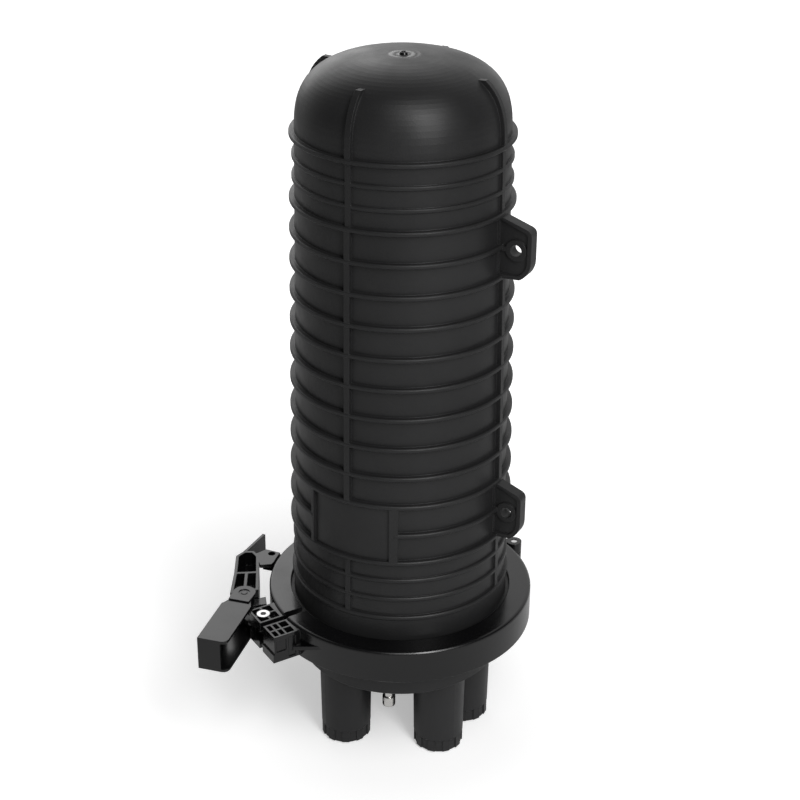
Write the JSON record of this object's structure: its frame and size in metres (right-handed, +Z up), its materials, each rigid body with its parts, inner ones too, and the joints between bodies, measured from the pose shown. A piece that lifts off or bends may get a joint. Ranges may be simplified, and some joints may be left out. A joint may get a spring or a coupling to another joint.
{
  "type": "dome splice closure",
  "caption": "Upright ribbed dome splice closure with a hinged clamp ring, draw latch, sealed cable ports and an air valve.",
  "frame": {"origin": "on the dome's axis, in the plane of the ports' sealed ends, on which the closure stands", "axes": "+Z up along the dome's axis, +X out through the mounting ears, -Y out through the label window"},
  "size_m": [0.2367, 0.2516, 0.5518],
  "materials": {
    "dome_plastic": "fine matt moulded",
    "base_plastic": "fine matt moulded",
    "clamp_plastic": "semi-gloss moulded",
    "latch_plastic": "semi-gloss moulded",
    "seal_rubber": "plain",
    "pin_steel": "turned",
    "valve_metal": "nickel plated",
    "valve_brass": "turned",
    "frame_steel": "sheet",
    "tray_plastic": "satin moulded",
    "clear_plastic": "clear moulded",
    "strap_fabric": "woven hook and loop"
  },
  "bodies": {
    "root": {"dome_cover": "dome_plastic", "port_base": "base_plastic", "seal_ring": "seal_rubber", "valve_body": "valve_metal", "valve_core": "valve_brass", "valve_washer": "seal_rubber", "valve_nut": "valve_metal", "tray_frame": "frame_steel", "frame_screws": "pin_steel", "tray_hinge_plate": "tray_plastic", "splice_tray_1": "tray_plastic", "splice_tray_2": "tray_plastic", "splice_tray_3": "tray_plastic", "splice_tray_4": "tray_plastic", "tray_cover": "clear_plastic", "tray_strap": "strap_fabric", "tube_basket": "tray_plastic", "strength_clamps": "frame_steel", "strength_clamp_screws": "pin_steel"},
    "clamp_front": {"clamp_half_front": "clamp_plastic"},
    "clamp_rear": {"clamp_half_rear": "clamp_plastic", "clamp_hinge_pin": "pin_steel", "lever_pin": "pin_steel"},
    "lever": {"latch_lever": "latch_plastic", "clasp_pin": "pin_steel"},
    "clasp": {"latch_clasp": "latch_plastic"},
    "cap": {"valve_cap": "valve_metal"}
  },
  "joints": [
    {"name": "clamp_front_swing", "type": "hinge", "parent": "root", "child": "clamp_front", "pos_m": [0.05608, 0.09521, 0.1123], "axis": [0, 0, 1], "range_deg": [0, 60]},
    {"name": "clamp_rear_swing", "type": "hinge", "parent": "root", "child": "clamp_rear", "pos_m": [0.05608, 0.09521, 0.1123], "axis": [0, 0, -1], "range_deg": [0, 60]},
    {"name": "lever_swing", "type": "hinge", "parent": "clamp_rear", "child": "lever", "pos_m": [-0.07021, -0.09284, 0.1123], "axis": [0, 0, 1], "range_deg": [0, 75]},
    {"name": "clasp_swing", "type": "hinge", "parent": "lever", "child": "clasp", "pos_m": [-0.09636, -0.07915, 0.1123], "axis": [0, 0, -1], "range_deg": [-48, 35]},
    {"name": "valve_cap_slide", "type": "slide", "parent": "root", "child": "cap", "axis": [0, 0, -1], "range_m": [0, 0.012]}
  ]
}
